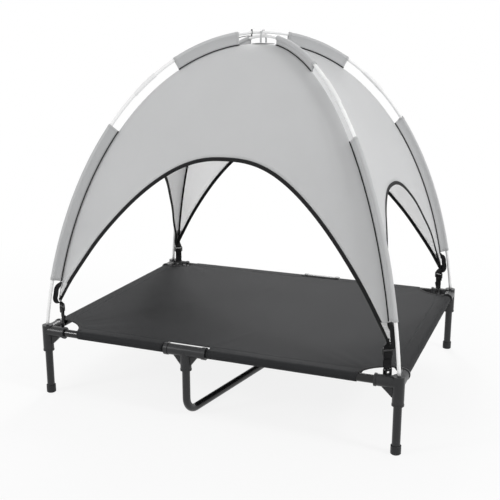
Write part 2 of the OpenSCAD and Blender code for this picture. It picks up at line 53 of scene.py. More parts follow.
bpy.context.collection.objects.link(cam)
scene = bpy.context.scene
scene.camera = cam
scene.view_settings.view_transform = "Standard"


def area_light(name, place, target, size, watts):
    data = bpy.data.lights.new(name, "AREA")
    data.shape = "DISK"
    data.size = size
    data.energy = watts
    lamp = bpy.data.objects.new(name, data)
    lamp.location = place
    lamp.rotation_euler = (Vector(target) - Vector(place)).to_track_quat("-Z", "Y").to_euler()
    bpy.context.collection.objects.link(lamp)


area_light("key", (3.3, -0.9, 2.7), (0, 0, 0.5), 0.9, 60)
area_light("fill", (-2.4, -2.8, 2.2), (0, 0, 0.5), 0.8, 38)
area_light("back", (-0.8, 3.0, 2.6), (0, 0, 0.6), 1.4, 70)


def new_material(name):
    mat = bpy.data.materials.new(name)
    mat.use_nodes = True
    tree = mat.node_tree
    return mat, tree, tree.nodes["Principled BSDF"]


def node(tree, kind, **values):
    n = tree.nodes.new(kind)
    for key, value in values.items():
        if hasattr(n, key):
            setattr(n, key, value)
        else:
            n.inputs[key.replace("_", " ")].default_value = value
    return n


def maths(tree, op, a, b=None):
    n = node(tree, "ShaderNodeMath", operation=op)
    for i, v in enumerate((a, b)):
        if v is None:
            continue
        if isinstance(v, (int, float)):
            n.inputs[i].default_value = v
        else:
            tree.links.new(v, n.inputs[i])
    return n.outputs[0]


def camera_white(tree):
    """1 for rays that see the background: from the camera, or off gloss, or through glass."""
    path = node(tree, "ShaderNodeLightPath").outputs
    seen = maths(tree, "MAXIMUM", path["Is Camera Ray"], path["Is Glossy Ray"])
    return maths(tree, "MAXIMUM", seen, path["Is Transmission Ray"])


world = bpy.data.worlds.new("studio")
scene.world = world
world.use_nodes = True
wt = world.node_tree
soft = wt.nodes["Background"]
soft.inputs["Color"].default_value = (1, 1, 1, 1)
soft.inputs["Strength"].default_value = 0.52
white = wt.nodes.new("ShaderNodeBackground")
white.inputs["Color"].default_value = (1, 1, 1, 1)
white.inputs["Strength"].default_value = 1.0
blend = wt.nodes.new("ShaderNodeMixShader")
wt.links.new(camera_white(wt), blend.inputs[0])
wt.links.new(soft.outputs[0], blend.inputs[1])
wt.links.new(white.outputs[0], blend.inputs[2])
wt.links.new(blend.outputs[0], wt.nodes["World Output"].inputs["Surface"])

floor_mat, ft, fb = new_material("pale_floor")
fb.inputs["Base Color"].default_value = (0.8, 0.8, 0.8, 1)
fb.inputs["Roughness"].default_value = 0.9
glow = node(ft, "ShaderNodeEmission", Strength=1.0)
reach = node(ft, "ShaderNodeVectorMath", operation="LENGTH")
ft.links.new(node(ft, "ShaderNodeTexCoord").outputs["Object"], reach.inputs[0])
# the floor keeps its shadow near the bed and fades to plain white further out
fade = node(ft, "ShaderNodeMapRange", From_Min=0.9, From_Max=2.4, To_Min=0.86)
ft.links.new(reach.outputs["Value"], fade.inputs["Value"])
mix = node(ft, "ShaderNodeMixShader")
ft.links.new(maths(ft, "MULTIPLY", camera_white(ft), fade.outputs["Result"]), mix.inputs[0])
ft.links.new(fb.outputs[0], mix.inputs[1])
ft.links.new(glow.outputs[0], mix.inputs[2])
ft.links.new(mix.outputs[0], ft.nodes["Material Output"].inputs["Surface"])
floor_mesh = bpy.data.meshes.new("floor")
floor_mesh.from_pydata([(-9, -9, 0), (9, -9, 0), (9, 9, 0), (-9, 9, 0)], [], [(0, 1, 2, 3)])
floor_mesh.materials.append(floor_mat)
floor = bpy.data.objects.new("floor", floor_mesh)
bpy.context.collection.objects.link(floor)


# ---------------------------------------------------------------- materials
def colour_mix(tree, factor, a, b):
    n = node(tree, "ShaderNodeMix", data_type="RGBA")
    tree.links.new(factor, n.inputs[0])
    for i, v in ((6, a), (7, b)):
        if isinstance(v, tuple):
            n.inputs[i].default_value = (*v, 1)
        else:
            tree.links.new(v, n.inputs[i])
    return n.outputs[2]


def ramp(tree, value, low, high, end="From"):
    """Maps low to high onto 0 to 1, or with end="To" the other way round."""
    n = node(tree, "ShaderNodeMapRange")
    tree.links.new(value, n.inputs["Value"])
    n.inputs[f"{end} Min"].default_value = low
    n.inputs[f"{end} Max"].default_value = high
    return n.outputs["Result"]


def noise_at(tree, coord, scale, detail=3.0):
    n = node(tree, "ShaderNodeTexNoise", Scale=scale, Detail=detail)
    tree.links.new(coord, n.inputs["Vector"])
    return n.outputs["Fac"]


def bump(tree, shader, height, strength, distance):
    n = node(tree, "ShaderNodeBump", Strength=strength, Distance=distance)
    tree.links.new(height, n.inputs["Height"])
    tree.links.new(n.outputs["Normal"], shader.inputs["Normal"])


def woven(name, light, dark, yarn, rough, sheen, depth, rib=False, strength=0.5):
    """Cloth with warp and weft of the given yarn pitch, laid out on the piece's UVs, which are in metres."""
    mat, tree, shader = new_material(name)
    uv = node(tree, "ShaderNodeUVMap", uv_map="UVMap").outputs[0]
    split = node(tree, "ShaderNodeSeparateXYZ")
    tree.links.new(uv, split.inputs[0])
    turn = 2 * math.pi / yarn
    warp = maths(tree, "SINE", maths(tree, "MULTIPLY", split.outputs[0], turn))
    weft = maths(tree, "SINE", maths(tree, "MULTIPLY", split.outputs[1], turn * (0.55 if rib else 1.0)))
    cross = maths(tree, "MULTIPLY", warp, weft)
    lift = maths(tree, "ADD", cross, maths(tree, "MULTIPLY", weft, 0.9 if rib else 0.25))
    coord = node(tree, "ShaderNodeTexCoord").outputs["Object"]
    fine = noise_at(tree, coord, 700.0, 2.0)
    broad = noise_at(tree, coord, 5.0, 3.0)
    weave = ramp(tree, lift, -1.2, 1.2)
    tone = maths(tree, "ADD", maths(tree, "MULTIPLY", weave, 0.45), maths(tree, "MULTIPLY", fine, 0.35))
    tone = maths(tree, "ADD", tone, maths(tree, "MULTIPLY", broad, 0.35))
    tree.links.new(colour_mix(tree, ramp(tree, tone, 0.25, 0.9), dark, light), shader.inputs["Base Color"])
    tree.links.new(ramp(tree, fine, rough - 0.06, rough + 0.06, "To"), shader.inputs["Roughness"])
    shader.inputs["Sheen Weight"].default_value = sheen
    shader.inputs["Sheen Roughness"].default_value = 0.5
    shader.inputs["Specular IOR Level"].default_value = 0.35
    height = maths(tree, "ADD", lift, maths(tree, "MULTIPLY", fine, 0.8))
    bump(tree, shader, height, strength, depth)
    return mat


def moulded(name, light, dark, rough, coat, grain, depth, strength=0.35, spec=0.5):
    """Plastic, paint or rubber: fine grain, cloudy gloss and a little tone from wear."""
    mat, tree, shader = new_material(name)
    coord = node(tree, "ShaderNodeTexCoord").outputs["Object"]
    fine = noise_at(tree, coord, grain, 3.0)
    cloud = noise_at(tree, coord, 18.0, 4.0)
    tone = maths(tree, "ADD", maths(tree, "MULTIPLY", fine, 0.5), maths(tree, "MULTIPLY", cloud, 0.5))
    tree.links.new(colour_mix(tree, ramp(tree, tone, 0.3, 0.7), dark, light), shader.inputs["Base Color"])
    tree.links.new(ramp(tree, cloud, rough - 0.05, rough + 0.07, "To"), shader.inputs["Roughness"])
    shader.inputs["Coat Weight"].default_value = coat
    shader.inputs["Coat Roughness"].default_value = 0.12
    shader.inputs["Specular IOR Level"].default_value = spec
    bump(tree, shader, fine, strength, depth)
    return mat


CANOPY = woven("canopy_cloth", (0.62, 0.625, 0.63), (0.53, 0.535, 0.54), 0.0011, 0.74, 0.10, 0.00012)
# The canopy's inside is the same cloth as its outside, given a much lighter colour: painted light for light
# that shines through the cloth.
CANOPY_INSIDE_PAINTED_LIGHT = woven("canopy_inside_painted_light", (0.93, 0.932, 0.935), (0.86, 0.862, 0.866), 0.0011, 0.68, 0.05, 0.00010)
SLEEVE = woven("sleeve_cloth", (0.56, 0.565, 0.57), (0.47, 0.475, 0.48), 0.0011, 0.74, 0.40, 0.00012)
PATCH = woven("patch_cloth", (0.80, 0.803, 0.806), (0.70, 0.703, 0.706), 0.0014, 0.7, 0.05, 0.00016)
SLING = woven("sling_cloth", (0.031, 0.0318, 0.0335), (0.014, 0.0145, 0.0156), 0.0016, 0.66, 0.01, 0.00022)
WEB = woven("webbing", (0.012, 0.012, 0.013), (0.004, 0.004, 0.0045), 0.0022, 0.66, 0.02, 0.0004, rib=True,
            strength=0.8)
BIND = woven("binding_tape", (0.015, 0.015, 0.016), (0.006, 0.006, 0.0065), 0.0016, 0.64, 0.02, 0.0003,
             rib=True, strength=0.8)
for cloth, weight in ((CANOPY, 0.55), (CANOPY_INSIDE_PAINTED_LIGHT, 1.0), (PATCH, 0.3)):
    sockets = cloth.node_tree.nodes["Principled BSDF"].inputs
    sockets["Subsurface Weight"].default_value = weight
    sockets["Subsurface Radius"].default_value = (1.0, 1.0, 1.0)
    sockets["Subsurface Scale"].default_value = 0.006
for cloth, gloss in ((SLING, 0.12), (WEB, 0.18), (BIND, 0.18)):
    cloth.node_tree.nodes["Principled BSDF"].inputs["Specular IOR Level"].default_value = gloss
THREAD_LIGHT = moulded("thread_light", (0.94, 0.94, 0.94), (0.86, 0.86, 0.86), 0.5, 0.0, 2500.0, 0.0001)
THREAD_GREY = moulded("thread_grey", (0.38, 0.38, 0.39), (0.28, 0.28, 0.29), 0.5, 0.0, 2500.0, 0.0001)
THREAD_DARK = moulded("thread_dark", (0.060, 0.061, 0.064), (0.035, 0.035, 0.037), 0.5, 0.0, 2500.0, 0.0001)
TUBE = moulded("coated_tube", (0.016, 0.0165, 0.018), (0.009, 0.0094, 0.0105), 0.27, 0.0, 900.0, 0.00006,
               0.3, 0.42)
BAR = moulded("gloss_tube", (0.005, 0.005, 0.0055), (0.002, 0.002, 0.0025), 0.14, 0.0, 700.0, 0.00003,
              0.12, 0.42)
FRAME = moulded("frame_plastic", (0.022, 0.0226, 0.0242), (0.012, 0.0124, 0.0135), 0.31, 0.0, 1400.0,
                0.00007, 0.35, 0.38)
FOOT = moulded("foot_rubber", (0.024, 0.0245, 0.026), (0.012, 0.0125, 0.0135), 0.50, 0.0, 1100.0, 0.00012,
               0.5, 0.3)
TRIM = moulded("trim_plastic", (0.010, 0.010, 0.011), (0.004, 0.004, 0.005), 0.30, 0.12, 1300.0, 0.00007, 0.4)
POLE = moulded("white_pole", (0.95, 0.95, 0.948), (0.91, 0.91, 0.908), 0.26, 0.3, 600.0, 0.00003, 0.2)
FERRULE = moulded("ferrule_coat", (0.90, 0.90, 0.90), (0.82, 0.82, 0.823), 0.30, 0.3, 800.0, 0.00004, 0.25)

for name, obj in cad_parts.items():
    obj.data.materials.clear()
    if name.startswith(("front_rail", "back_rail", "side_rail")):
        obj.data.materials.append(BAR)
    elif name.startswith(("leg_tube", "centre_leg")):
        obj.data.materials.append(TUBE)
    elif name.startswith("foot_cap"):
        obj.data.materials.append(FOOT)
    elif name.startswith(("corner_connector", "tee_connector")):
        obj.data.materials.append(FRAME)
    else:
        obj.data.materials.append(TRIM)

# ---------------------------------------------------------------- the frame's sizes
HALF_X, HALF_Y = 0.590, 0.460
HALF_DIAG = math.hypot(HALF_X, HALF_Y)
SHARE_X, SHARE_Y = HALF_X / HALF_DIAG, HALF_Y / HALF_DIAG
RAIL_Z = 0.219
CROWN = 1.178
POLE_R = 0.0055
OVER, UNDER = CROWN + 0.0061, CROWN - 0.0061
TIP_TOP = 0.241
RIDGE_GAP = 0.030
CORNER_Z = 0.322
JOINT_R = 0.378
LOW_SLEEVE_Z = (0.386, 0.872)
HIGH_SLEEVE_R = (0.285, 0.082)
CANOPY_T, SLEEVE_T, PATCH_T, SLING_T = 0.0011, 0.0009, 0.0006, 0.0014
STRAP_W = 0.0245
POLE_START = np.array([HALF_DIAG, TIP_TOP])
POLE_HANDLE = np.array([HALF_DIAG - 0.519 * 0.122, TIP_TOP + 0.519])
CORNERS = {"fl": (-SHARE_X, -SHARE_Y), "fr": (SHARE_X, -SHARE_Y), "bl": (-SHARE_X, SHARE_Y),
           "br": (SHARE_X, SHARE_Y)}
SIDES = {
    "front": ((1, 0), (0, -1), SHARE_X, SHARE_Y, 0.810),
    "right": ((0, 1), (1, 0), SHARE_Y, SHARE_X, 0.712),
    "back": ((-1, 0), (0, 1), SHARE_X, SHARE_Y, 0.810),
    "left": ((0, -1), (-1, 0), SHARE_Y, SHARE_X, 0.712),
}


def pole_at(t, crown=CROWN):
    t = np.asarray(t, float)[..., None]
    c, d = np.array([0.400, crown]), np.array([0, crown])
    return ((1 - t) ** 3 * POLE_START + 3 * (1 - t) ** 2 * t * POLE_HANDLE
            + 3 * (1 - t) * t * t * c + t ** 3 * d)


def pole_slope(t, crown=CROWN):
    t = np.asarray(t, float)[..., None]
    c, d = np.array([0.400, crown]), np.array([0, crown])
    s = (3 * (1 - t) ** 2 * (POLE_HANDLE - POLE_START) + 6 * (1 - t) * t * (c - POLE_HANDLE)
         + 3 * t * t * (d - c))
    return s / np.linalg.norm(s, axis=-1, keepdims=True)


def out_of(slope):
    return np.stack([slope[..., 1], -slope[..., 0]], -1)


def ridge_at(t):
    return pole_at(t) - RIDGE_GAP * out_of(pole_slope(t))


T_TABLE = np.linspace(0, 1, 4001)
RIDGE_TABLE = ridge_at(T_TABLE)
ARC_TABLE = np.concatenate([[0], np.cumsum(np.linalg.norm(np.diff(RIDGE_TABLE, axis=0), axis=1))])


def t_at_z(z):
    return float(np.interp(z, RIDGE_TABLE[:, 1], T_TABLE))


def t_at_r(r):
    return float(np.interp(-r, -RIDGE_TABLE[:, 0], T_TABLE))


T_CORNER = t_at_z(CORNER_Z)
CORNER_R = float(ridge_at(T_CORNER)[0])


def in_plane(corner, point, side=0.0):
    """A point given as distance and height in a corner's upright plane, moved sideways."""
    c = CORNERS[corner] if isinstance(corner, str) else corner
    return np.array([c[0] * point[0] - c[1] * side, c[1] * point[0] + c[0] * side, point[1]])


def plane_dir(corner, v, side=0.0):
    c = CORNERS[corner] if isinstance(corner, str) else corner
    return np.array([c[0] * v[0] - c[1] * side, c[1] * v[0] + c[0] * side, v[1]])


def outward(corner, t, crown=CROWN):
    """Square to the pole and away from the cloth, at t along it."""
    return plane_dir(corner, out_of(pole_slope(t, crown)))


def sideways(corner):
    """Square to a corner's upright plane."""
    return plane_dir(corner, (0, 0), 1.0)


def arch_t(side, f):
    return T_CORNER + (t_at_z(SIDES[side][4]) - T_CORNER) * (1 - abs(f) ** 2.5)


def unit(v):
    return v / np.linalg.norm(v)


def panel_normal(side, t):
    along, out, sa, so, _ = SIDES[side]
    s = ridge_at(min(t + 0.001, 1)) - ridge_at(t - 0.001)
    n = np.array([s[1], -so * s[0]])
    n /= np.linalg.norm(n)
    return np.array([out[0] * n[0], out[1] * n[0], n[1]])


def smooth(x):
    x = min(max(x, 0), 1)
    return x * x * (3 - 2 * x)


def canopy_at(side, f, t, lift=0.0):
    """The outside of the canopy: straight between ridges, pulled in by its tension, with soft folds."""
    along, out, sa, so, _ = SIDES[side]
    r, z = ridge_at(t)
    p = np.array([along[0] * f * sa * r + out[0] * so * r, along[1] * f * sa * r + out[1] * so * r, z])
    n = panel_normal(side, t)
    free = 1 - f * f
    edge = smooth((1 - abs(f)) * sa * r / 0.035)
    top = smooth(r / 0.30)
    pull = 0.012 * free * top
    low = noise.noise(Vector((p[0] * 3.1, p[1] * 3.1, p[2] * 1.7))) * 0.0030 * free * top
    arc = np.interp(t, T_TABLE, ARC_TABLE)
    seam = (1 - abs(f)) * sa * r
    pucker = 0.0007 * math.exp(-seam / 0.022) * math.sin(arc / 0.021 + 2.2
            * noise.noise(Vector((arc * 9, seam * 12, along[0] + 2 * out[0])))) * edge
    drawn = 0.0022 * math.exp(-((z - CORNER_Z) / 0.22) ** 2) * math.sin(seam / 0.013 + along[1]
            * 2.0) * edge * smooth(seam / 0.02)
    return p - n * (pull - low - pucker - drawn - lift)


# ---------------------------------------------------------------- mesh helpers
def add_mesh(name, verts, faces, mat, body, uvs=None, sharp=()):
    mesh = bpy.data.meshes.new(name)
    mesh.from_pydata([tuple(map(float, v)) for v in verts], [], [tuple(map(int, f)) for f in faces])
    mesh.validate()
    mesh.polygons.foreach_set("use_smooth", [True] * len(mesh.polygons))
    for m in (mat if isinstance(mat, (list, tuple)) else [mat]):
        mesh.materials.append(m)
    layer = mesh.uv_layers.new(name="UVMap")
    if uvs is not None:
        flat = np.asarray(uvs, float)[[l.vertex_index for l in mesh.loops]]
        layer.data.foreach_set("uv", flat.ravel())
    if sharp:
        keys = {tuple(sorted(e)) for e in sharp}
        for e in mesh.edges:
            if tuple(sorted(e.vertices)) in keys:
                e.use_edge_sharp = True
    obj = bpy.data.objects.new(name, mesh)
    bpy.context.collection.objects.link(obj)
    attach(obj, body)
    return obj


def arc_lengths(points):
    return np.concatenate([[0], np.cumsum(np.linalg.norm(np.diff(points, axis=0), axis=1))])


def resample(points, count):
    """The same line through count points at even spacing."""
    points = np.asarray(points, float)
    s = arc_lengths(points)
    at = np.linspace(0, s[-1], count)
    return np.stack([np.interp(at, s, points[:, i]) for i in range(points.shape[1])], -1)


def rounded(points, count):
    """Smooth open curve through the points (Catmull-Rom)."""
    p = np.asarray(points, float)
    p = np.vstack([2 * p[0] - p[1], p, 2 * p[-1] - p[-2]])
    out = []
    for i in range(1, len(p) - 2):
        for t in np.linspace(0, 1, 12, endpoint=False):
            a, b, c, d = p[i - 1], p[i], p[i + 1], p[i + 2]
            out.append(0.5 * (2 * b + (c - a) * t + (2 * a - 5 * b + 4 * c - d) * t * t
                              + (3 * b - a - 3 * c + d) * t ** 3))
    out.append(p[-2])
    return resample(np.array(out), count)


def loft(rings, cap=True):
    """Faces through equal rings of points."""
    n, m = len(rings), len(rings[0])
    faces = []
    for i in range(n - 1):
        for j in range(m):
            a, b = i * m + j, i * m + (j + 1) % m
            faces.append((a, b, b + m, a + m))
    if cap:
        faces.append(tuple(range(m - 1, -1, -1)))
        faces.append(tuple(range((n - 1) * m, n * m)))
    return [p for ring in rings for p in ring], faces


def tube(name, centres, sides_a, sides_b, radius, mat, body, around=16, cap=True):
    """Round rod: centres with two square directions at each, and a radius or a list of them."""
    radii = np.broadcast_to(radius, (len(centres),))
    rings, uvs = [], []
    s = arc_lengths(np.asarray(centres))
    for p, a, b, r, v in zip(centres, sides_a, sides_b, radii, s):
        ring = []
        for k in range(around):
            w = 2 * math.pi * k / around
            ring.append(p + r * (math.cos(w) * a + math.sin(w) * b))
            uvs.append((k / around * 2 * math.pi * r, v))
        rings.append(ring)
    verts, faces = loft(rings, cap=cap)
    return add_mesh(name, verts, faces, mat, body, uvs)


def ribbon(name, centres, wide, thick, width, depth, mat, body):
    """Flat tape with soft edges. wide and thick are its unit directions at each centre."""
    widths = np.broadcast_to(width, (len(centres),))
    depths = np.broadcast_to(depth, (len(centres),))
    section = []
    for x in (-1, -0.94, -0.7, 0, 0.7, 0.94, 1):
        section.append((x, 1 if abs(x) < 0.9 else (0.72 if abs(x) < 1 else 0.0)))
    section = section + [(x, -y) for x, y in reversed(section[1:-1])]
    rings, uvs = [], []
    s = arc_lengths(np.asarray(centres))
    for p, a, b, w, d, v in zip(centres, wide, thick, widths, depths, s):
        rings.append([p + a * x * w / 2 + b * y * d / 2 for x, y in section])
        uvs += [(x * w / 2, v) for x, y in section]
    verts, faces = loft(rings)
    return add_mesh(name, verts, faces, mat, body, uvs)


def stitches(name, rows, mat, body, pitch=0.004, length=0.0028, radius=0.00038):
    """Thread: a row is points on cloth and a direction off it at each. A stitch is a small capsule."""
    verts, faces = [], []
    for points, ups in rows:
        points, ups = np.asarray(points, float), np.asarray(ups, float)
        s = arc_lengths(points)
        if s[-1] < pitch:
            continue
        for at in np.arange(pitch / 2, s[-1], pitch):
            ends = [np.array([np.interp(x, s, points[:, i]) for i in range(3)])
                    for x in (at - length / 2, at + length / 2)]
            up = unit(np.array([np.interp(at, s, ups[:, i]) for i in range(3)]))
            run = ends[1] - ends[0]
            if np.linalg.norm(run) < 1e-7:
                continue
            run = unit(run)
            side = unit(np.cross(run, up))
            k = len(verts)
            verts.append(ends[0] - up * radius * 0.6)
            for e, sign in ((ends[0], 1), (ends[1], -1)):
                mid = e + run * sign * length * 0.22
                verts += [mid + up * radius, mid + side * radius * 1.1, mid - up * radius,
                          mid - side * radius * 1.1]
            verts.append(ends[1] - up * radius * 0.6)
            for j in range(4):
                a, b = k + 1 + j, k + 1 + (j + 1) % 4
                faces += [(k, b, a), (a, b, b + 4, a + 4), (a + 4, b + 4, k + 9)]
    return add_mesh(name, verts, faces, mat, body)


def grid_faces(n, m, first=0):
    return [(first + i * m + j, first + (i + 1) * m + j, first + (i + 1) * m + j + 1, first + i * m + j + 1)
            for i in range(n - 1) for j in range(m - 1)]


def thicken(obj, amount, inner=None):
    """Gives a sheet its thickness inwards. inner is how many material slots on its inside is."""
    mod = obj.modifiers.new("thickness", "SOLIDIFY")
    mod.thickness = amount
    mod.offset = -1.0
    mod.use_even_offset = True
    if inner is not None:
        mod.material_offset = inner


# ---------------------------------------------------------------- canopy: one continuous curved sheet
COLS, ROWS = 52, 46
fs = np.sin(np.linspace(-math.pi / 2, math.pi / 2, COLS + 1))
fs = 0.55 * fs + 0.45 * np.linspace(-1, 1, COLS + 1)
verts, uvs = [], []
columns = [(side, f) for side in SIDES for f in fs[:-1]]
for side, f in columns:
    low = arch_t(side, f)
    for i in range(ROWS):
        u = i / ROWS
        t = low + (1 - low) * u
        verts.append(canopy_at(side, f, t))
        r = ridge_at(t)[0]
        uvs.append((f * SIDES[side][2] * r, np.interp(t, T_TABLE, ARC_TABLE)))
verts.append(np.array([0, 0, ridge_at(1.0)[1]]))
uvs.append((0, ARC_TABLE[-1]))
top = len(verts) - 1
faces, sharp = [], []
for c in range(len(columns)):
    a0, b0 = c * ROWS, ((c + 1) % len(columns)) * ROWS
    for i in range(ROWS - 1):
        faces.append((a0 + i, b0 + i, b0 + i + 1, a0 + i + 1))
        if columns[c][1] == fs[0]:
            sharp.append((a0 + i, a0 + i + 1))
    faces.append((a0 + ROWS - 1, b0 + ROWS - 1, top))
# the inside faces take the lighter copy of the cloth, painted light for light through the sheet
canopy = add_mesh("canopy_sheet", verts, faces, [CANOPY, CANOPY_INSIDE_PAINTED_LIGHT], "canopy", uvs, sharp)
thicken(canopy, CANOPY_T, inner=1)
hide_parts(*[f"canopy_panel_{s}" for s in SIDES])
on_canopy = []


def arch_point(side, f):
    """Middle of the sheet's thickness on the edge of an arch."""
    return canopy_at(side, f, arch_t(side, f), -0.0006)


# Binding on the arches, folded over the sheet's edge, with a row of stitches on each face
edge_rows = []
for side in SIDES:
    path, wide, thick = [], [], []
    for f in np.sin(np.linspace(-math.pi / 2, math.pi / 2, 121)) * 0.9985:
        p = arch_point(side, f)
        n = panel_normal(side, arch_t(side, f))
        run = unit(arch_point(side, min(f + 0.004, 1)) - arch_point(side, max(f - 0.004, -1)))
        w = unit(np.cross(run, n))
        if w[2] > 0:
            w = -w
        path.append(p + w * 0.0028)
        wide.append(w)
        thick.append(unit(np.cross(w, run)))
    tape = ribbon(f"binding_{side}", path, wide, thick, 0.0125, 0.0030, BIND, "canopy")
    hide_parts(f"arch_binding_{side}")
    on_canopy.append(tape)
    for face in (1, -1):
        edge_rows.append(([p - w * 0.0040 + b * face * 0.00155 for p, w, b in zip(path, wide, thick)],
                          [b * face for b in thick]))
on_canopy.append(stitches("binding_stitches", edge_rows, THREAD_DARK, "canopy", 0.0042, 0.0030))

# Pole sleeves: cloth that runs round the pole and back to the ridge, with a hem at each end
hem_rows, ridge_rows = [], []


def pole_sleeve(corner, kind, from_t, to_t, node_name):
    crown = OVER if CORNERS[corner][0] * CORNERS[corner][1] > 0 else UNDER
    count = 64 if kind == "lower" else 34
    ts = np.linspace(from_t, to_t, count)
    arcs = np.interp(ts, T_TABLE, ARC_TABLE)
    grid, uv = [], []
    for i, t in enumerate(ts):
        centre, ridge = pole_at(t, crown), ridge_at(t)
        reach = np.linalg.norm(centre - ridge)
        end = min(arcs[i] - arcs[0], arcs[-1] - arcs[i])
        hem = 0.0006 * (1 - smooth((end - 0.008) / 0.002))
        wave = 0.0007 * noise.noise(Vector((arcs[i] * 28, 3.1 * len(corner) + ord(corner[0]),
                                            ord(corner[1]))))
        r = 0.0074 + hem + 0.4 * wave
        fin = [(0.0002, 0.0009), (0.004, 0.0011), (0.009, 0.0013 + 0.5 * abs(wave)),
               (0.014, 0.0017 + wave * 0.4),
               (0.0185, 0.0027 + wave * 0.5), (reach - 0.0060, 0.0052 + 0.4 * hem)]
        section = [(d, h + hem) for d, h in fin]
        for a in np.radians(np.linspace(-38, 90, 9)):
            section.append((reach + r * math.sin(a), r * math.cos(a)))
        whole = section + [(d, -h) for d, h in reversed(section[:-1])]
        row = []
        lean = unit(centre - ridge)
        for d, h in whole:
            row.append(in_plane(corner, ridge + lean * d, h))
        grid.append(row)
        uv += [(x, arcs[i]) for x in arc_lengths(np.array(whole))]
    m = len(grid[0])
    obj = add_mesh(f"{kind}_pole_sleeve_{corner}", [p for row in grid for p in row],
                   grid_faces(len(grid), m), SLEEVE, "canopy", uv)
    thicken(obj, SLEEVE_T)
    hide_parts(node_name)
    on_canopy.append(obj)
    for end_t, sign in ((from_t, 1), (to_t, -1)):
        for off in (0.006, 0.0085):
            t = float(np.interp(np.interp(end_t, T_TABLE, ARC_TABLE) + sign * off, ARC_TABLE, T_TABLE))
            k = float(np.interp(t, ts, range(count)))
            k0 = min(int(k), count - 2)
            row = [(1 - (k - k0)) * grid[k0][j] + (k - k0) * grid[k0 + 1][j] for j in range(m)]
            mid = in_plane(corner, ridge_at(t) + 0.75 * (pole_at(t, crown) - ridge_at(t)))
            ups = []
            for j, p in enumerate(row):
                q0, q1 = row[max(j - 1, 0)], row[min(j + 1, m - 1)]
                tangent = unit(q1 - q0)
                along_pole = unit(plane_dir(corner, pole_slope(t, crown)))
                up = np.cross(tangent, along_pole)
                up = unit(up)
                if np.dot(up, p - mid) < 0:
                    up = -up
                ups.append(up)
            hem_rows.append(([p + u * 0.00015 for p, u in zip(row, ups)], ups))
    for s in (1, -1):
        tt = np.linspace(from_t, to_t, count * 2)
        pts = [in_plane(corner, ridge_at(t) + 0.0052 * unit(pole_at(t, crown) - ridge_at(t)), s * 0.00165)
               for t in tt]
        ridge_rows.append((pts, [plane_dir(corner, (0, 0), s) for _ in tt]))
        rope = [in_plane(corner, ridge_at(t) + 0.0016 * out_of(pole_slope(t)), s * 0.0027) for t in tt]
        a = [outward(corner, t) for t in tt]
        b = [sideways(corner) for _ in tt]
        on_canopy.append(tube(f"{kind}_piping_{corner}_{'a' if s > 0 else 'b'}", rope, a, b, 0.0017, BIND,
                              "canopy", 8))


LOW = [t_at_z(z) for z in LOW_SLEEVE_Z]
HIGH = [t_at_r(r) for r in HIGH_SLEEVE_R]
for corner in CORNERS:
    pole_sleeve(corner, "lower", *LOW, f"lower_sleeve_{corner}")
    pole_sleeve(corner, "upper", *HIGH, f"upper_sleeve_{corner}")
on_canopy.append(stitches("sleeve_hem_stitches", hem_rows, THREAD_GREY, "canopy", 0.0034, 0.0024, 0.00034))
on_canopy.append(stitches("sleeve_seam_stitches", ridge_rows, THREAD_GREY, "canopy", 0.0040, 0.0028,
                          0.00034))

# Tape over each ridge seam on the inside
tapes = []
for corner in CORNERS:
    ts = np.linspace(t_at_z(CORNER_Z + 0.012), t_at_r(0.03), 90)
    path = [in_plane(corner, ridge_at(t) - 0.0112 * out_of(pole_slope(t))) for t in ts]
    wide = [sideways(corner) for _ in ts]
    thick = [outward(corner, t) for t in ts]
    tapes.append(ribbon(f"ridge_tape_{corner}", path, wide, thick, 0.0082, 0.0012, BIND, "canopy"))
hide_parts("seam_tapes")
on_canopy += tapes

# Reinforcing patch at each lower corner, with zigzag bar tacks
zig = []
for side in SIDES:
    for end in (-1, 1):
        height = 0.058
        verts, uvs, grid = [], [], []
        m, n = 9, 14
        t_top = t_at_z(CORNER_Z + height)
        ta = t_at_z(SIDES[side][4])
        for i in range(n):
            t = T_CORNER + 0.0001 + (t_top - T_CORNER) * i / (n - 1)
            f_edge = max(1 - (t - T_CORNER) / (ta - T_CORNER), 0) ** (1 / 2.5)
            row = []
            for j in range(m):
                f = 1 - (1 - f_edge) * (0.02 + 0.96 * j / (m - 1))
                row.append(canopy_at(side, end * f, t, 0.0007))
                uvs.append((f * SIDES[side][2] * ridge_at(t)[0], np.interp(t, T_TABLE, ARC_TABLE)))
            grid.append(row)
        tag = "a" if end < 0 else "b"
        patch = add_mesh(f"corner_patch_{side}_{tag}", [p for row in grid for p in row], grid_faces(n, m),
                         PATCH,
                         "canopy", uvs)
        if end > 0:
            patch.data.flip_normals()
        thicken(patch, PATCH_T)
        on_canopy.append(patch)
        normal = panel_normal(side, T_CORNER)
        for level in (0.16, 0.36, 0.62, 0.92):
            i = int(level * (n - 1))
            a, b = grid[i][0], grid[i][-1]
            steps = max(6, int(np.linalg.norm(b - a) / 0.0015))
            rise = unit(grid[min(i + 1, n - 1)][m // 2] - grid[i - 1][m // 2])
            pts = [a + (b - a) * k / steps + rise * 0.0030 * (1 if k % 2 else -1) + normal * 0.0004
                   for k in range(steps + 1)]
            zig.append((pts, [normal] * len(pts)))
on_canopy.append(stitches("corner_bar_tacks", zig, THREAD_LIGHT, "canopy", 0.0031, 0.0035, 0.00062))

